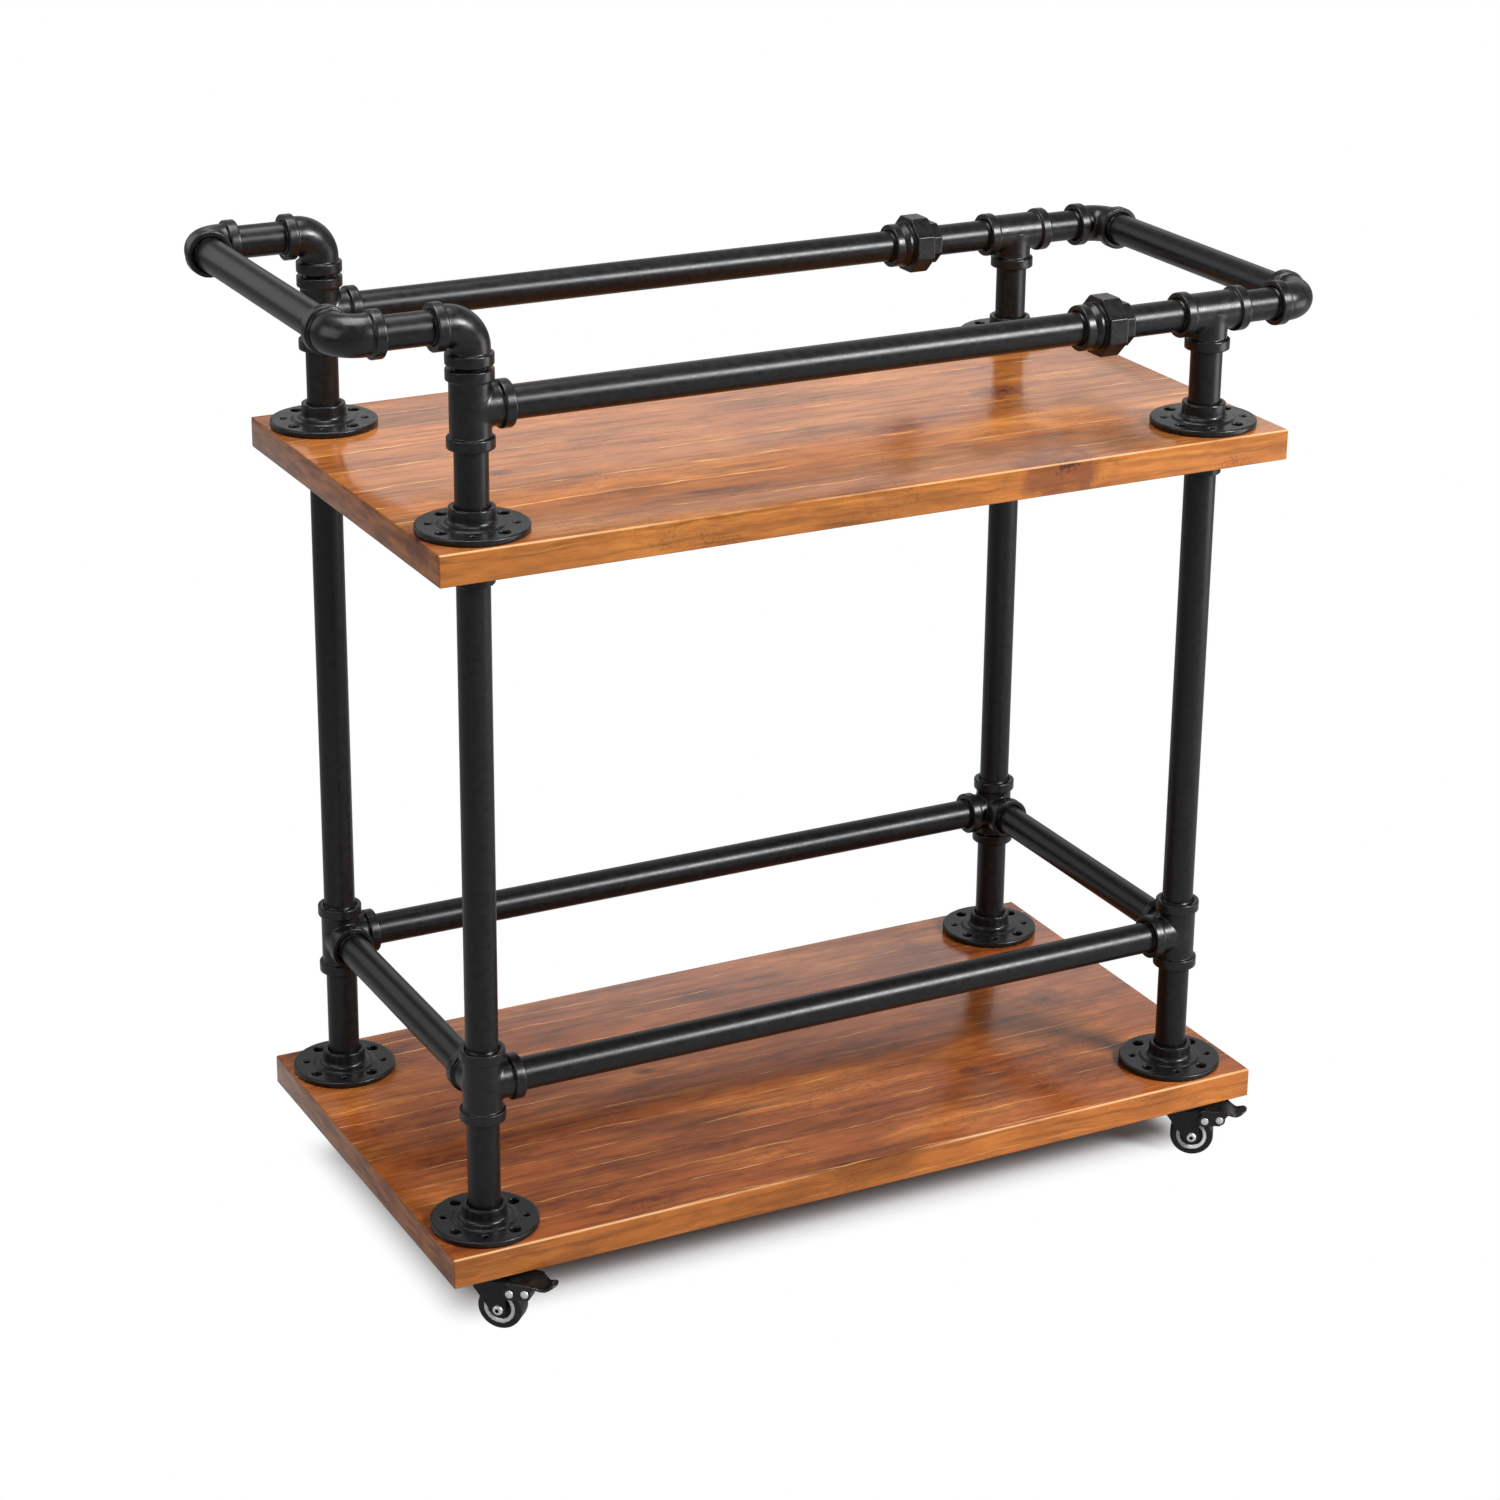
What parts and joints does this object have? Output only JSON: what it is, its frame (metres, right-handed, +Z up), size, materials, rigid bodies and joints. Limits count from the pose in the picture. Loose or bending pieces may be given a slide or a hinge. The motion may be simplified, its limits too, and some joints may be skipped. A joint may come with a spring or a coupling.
{
  "type": "bar cart",
  "caption": "Rolling bar cart with two lacquered wooden shelves on a frame of black threaded pipe and fittings, with a raised push handle, guard rails and swivel casters.",
  "frame": {"origin": "on the floor, under the middle of the cart's outline seen from above", "axes": "+X along the cart, away from the raised push handle; +Y from the front to the back; +Z up"},
  "size_m": [0.8946, 0.428, 0.8471],
  "materials": {
    "pipe_black": "satin black paint on steel pipe",
    "fitting_black": "satin black malleable iron castings",
    "shelf_wood": "reddish brown stain under glossy lacquer, edge-glued staves",
    "caster_steel": "black-plated pressed steel",
    "wheel_rubber": "black tyre on a hard hub with a pale ring",
    "pedal_nylon": "black moulded nylon"
  },
  "bodies": {
    "cart": {"top_shelf": "shelf_wood", "bottom_shelf": "shelf_wood", "bottom_flange_front_left": "fitting_black", "lower_post_front_left": "pipe_black", "lower_tee_front_left": "fitting_black", "leg_front_left": "pipe_black", "top_flange_front_left": "fitting_black", "upper_post_front_left": "pipe_black", "bottom_flange_front_right": "fitting_black", "lower_post_front_right": "pipe_black", "lower_tee_front_right": "fitting_black", "leg_front_right": "pipe_black", "top_flange_front_right": "fitting_black", "upper_post_front_right": "pipe_black", "bottom_flange_back_left": "fitting_black", "lower_post_back_left": "pipe_black", "lower_tee_back_left": "fitting_black", "leg_back_left": "pipe_black", "top_flange_back_left": "fitting_black", "upper_post_back_left": "pipe_black", "bottom_flange_back_right": "fitting_black", "lower_post_back_right": "pipe_black", "lower_tee_back_right": "fitting_black", "leg_back_right": "pipe_black", "top_flange_back_right": "fitting_black", "upper_post_back_right": "pipe_black", "lower_rail_front": "pipe_black", "upper_tee_front_left": "fitting_black", "riser_elbow_front": "fitting_black", "handle_elbow_front": "fitting_black", "upper_tee_front_right": "fitting_black", "end_elbow_front": "fitting_black", "union_front": "fitting_black", "upper_rail_front": "pipe_black", "lower_rail_back": "pipe_black", "upper_tee_back_left": "fitting_black", "riser_elbow_back": "fitting_black", "handle_elbow_back": "fitting_black", "upper_tee_back_right": "fitting_black", "end_elbow_back": "fitting_black", "union_back": "fitting_black", "upper_rail_back": "pipe_black", "lower_rail_left": "pipe_black", "lower_rail_right": "pipe_black", "handle_bar": "pipe_black", "end_bar": "pipe_black", "caster_plate_front_left": "caster_steel", "caster_plate_front_right": "caster_steel", "caster_plate_back_left": "caster_steel", "caster_plate_back_right": "caster_steel"},
    "fork_front_left": {"caster_fork_front_left": "caster_steel"},
    "wheel_front_left": {"caster_wheel_front_left": "wheel_rubber"},
    "pedal_front_left": {"brake_pedal_front_left": "pedal_nylon"},
    "fork_front_right": {"caster_fork_front_right": "caster_steel"},
    "wheel_front_right": {"caster_wheel_front_right": "wheel_rubber"},
    "pedal_front_right": {"brake_pedal_front_right": "pedal_nylon"},
    "fork_back_left": {"caster_fork_back_left": "caster_steel"},
    "wheel_back_left": {"caster_wheel_back_left": "wheel_rubber"},
    "fork_back_right": {"caster_fork_back_right": "caster_steel"},
    "wheel_back_right": {"caster_wheel_back_right": "wheel_rubber"}
  },
  "joints": [
    {"name": "caster_swivel_front_left", "type": "hinge", "parent": "cart", "child": "fork_front_left", "pos_m": [-0.3335, -0.16802, 0.051], "axis": [0, 0, 1], "continuous": true},
    {"name": "wheel_spin_front_left", "type": "hinge", "parent": "fork_front_left", "child": "wheel_front_left", "pos_m": [-0.32501, -0.1765, 0.019], "axis": [0.7071, 0.7071, 0], "continuous": true},
    {"name": "brake_press_front_left", "type": "hinge", "parent": "fork_front_left", "child": "pedal_front_left", "pos_m": [-0.31724, -0.18428, 0.0366], "axis": [0.7071, 0.7071, 0], "range_deg": [0, 14]},
    {"name": "caster_swivel_front_right", "type": "hinge", "parent": "cart", "child": "fork_front_right", "pos_m": [0.3325, -0.16802, 0.051], "axis": [0, 0, 1], "continuous": true},
    {"name": "wheel_spin_front_right", "type": "hinge", "parent": "fork_front_right", "child": "wheel_front_right", "pos_m": [0.34221, -0.17507, 0.019], "axis": [0.5878, 0.809, 0], "continuous": true},
    {"name": "brake_press_front_right", "type": "hinge", "parent": "fork_front_right", "child": "pedal_front_right", "pos_m": [0.35111, -0.18154, 0.0366], "axis": [0.5878, 0.809, 0], "range_deg": [0, 14]},
    {"name": "caster_swivel_back_left", "type": "hinge", "parent": "cart", "child": "fork_back_left", "pos_m": [-0.3335, 0.18998, 0.051], "axis": [0, 0, 1], "continuous": true},
    {"name": "wheel_spin_back_left", "type": "hinge", "parent": "fork_back_left", "child": "wheel_back_left", "pos_m": [-0.32547, 0.18106, 0.019], "axis": [0.7431, 0.6691, 0], "continuous": true},
    {"name": "caster_swivel_back_right", "type": "hinge", "parent": "cart", "child": "fork_back_right", "pos_m": [0.3325, 0.18998, 0.051], "axis": [0, 0, 1], "continuous": true},
    {"name": "wheel_spin_back_right", "type": "hinge", "parent": "fork_back_right", "child": "wheel_back_right", "pos_m": [0.34169, 0.18227, 0.019], "axis": [0.6428, 0.766, 0], "continuous": true}
  ]
}
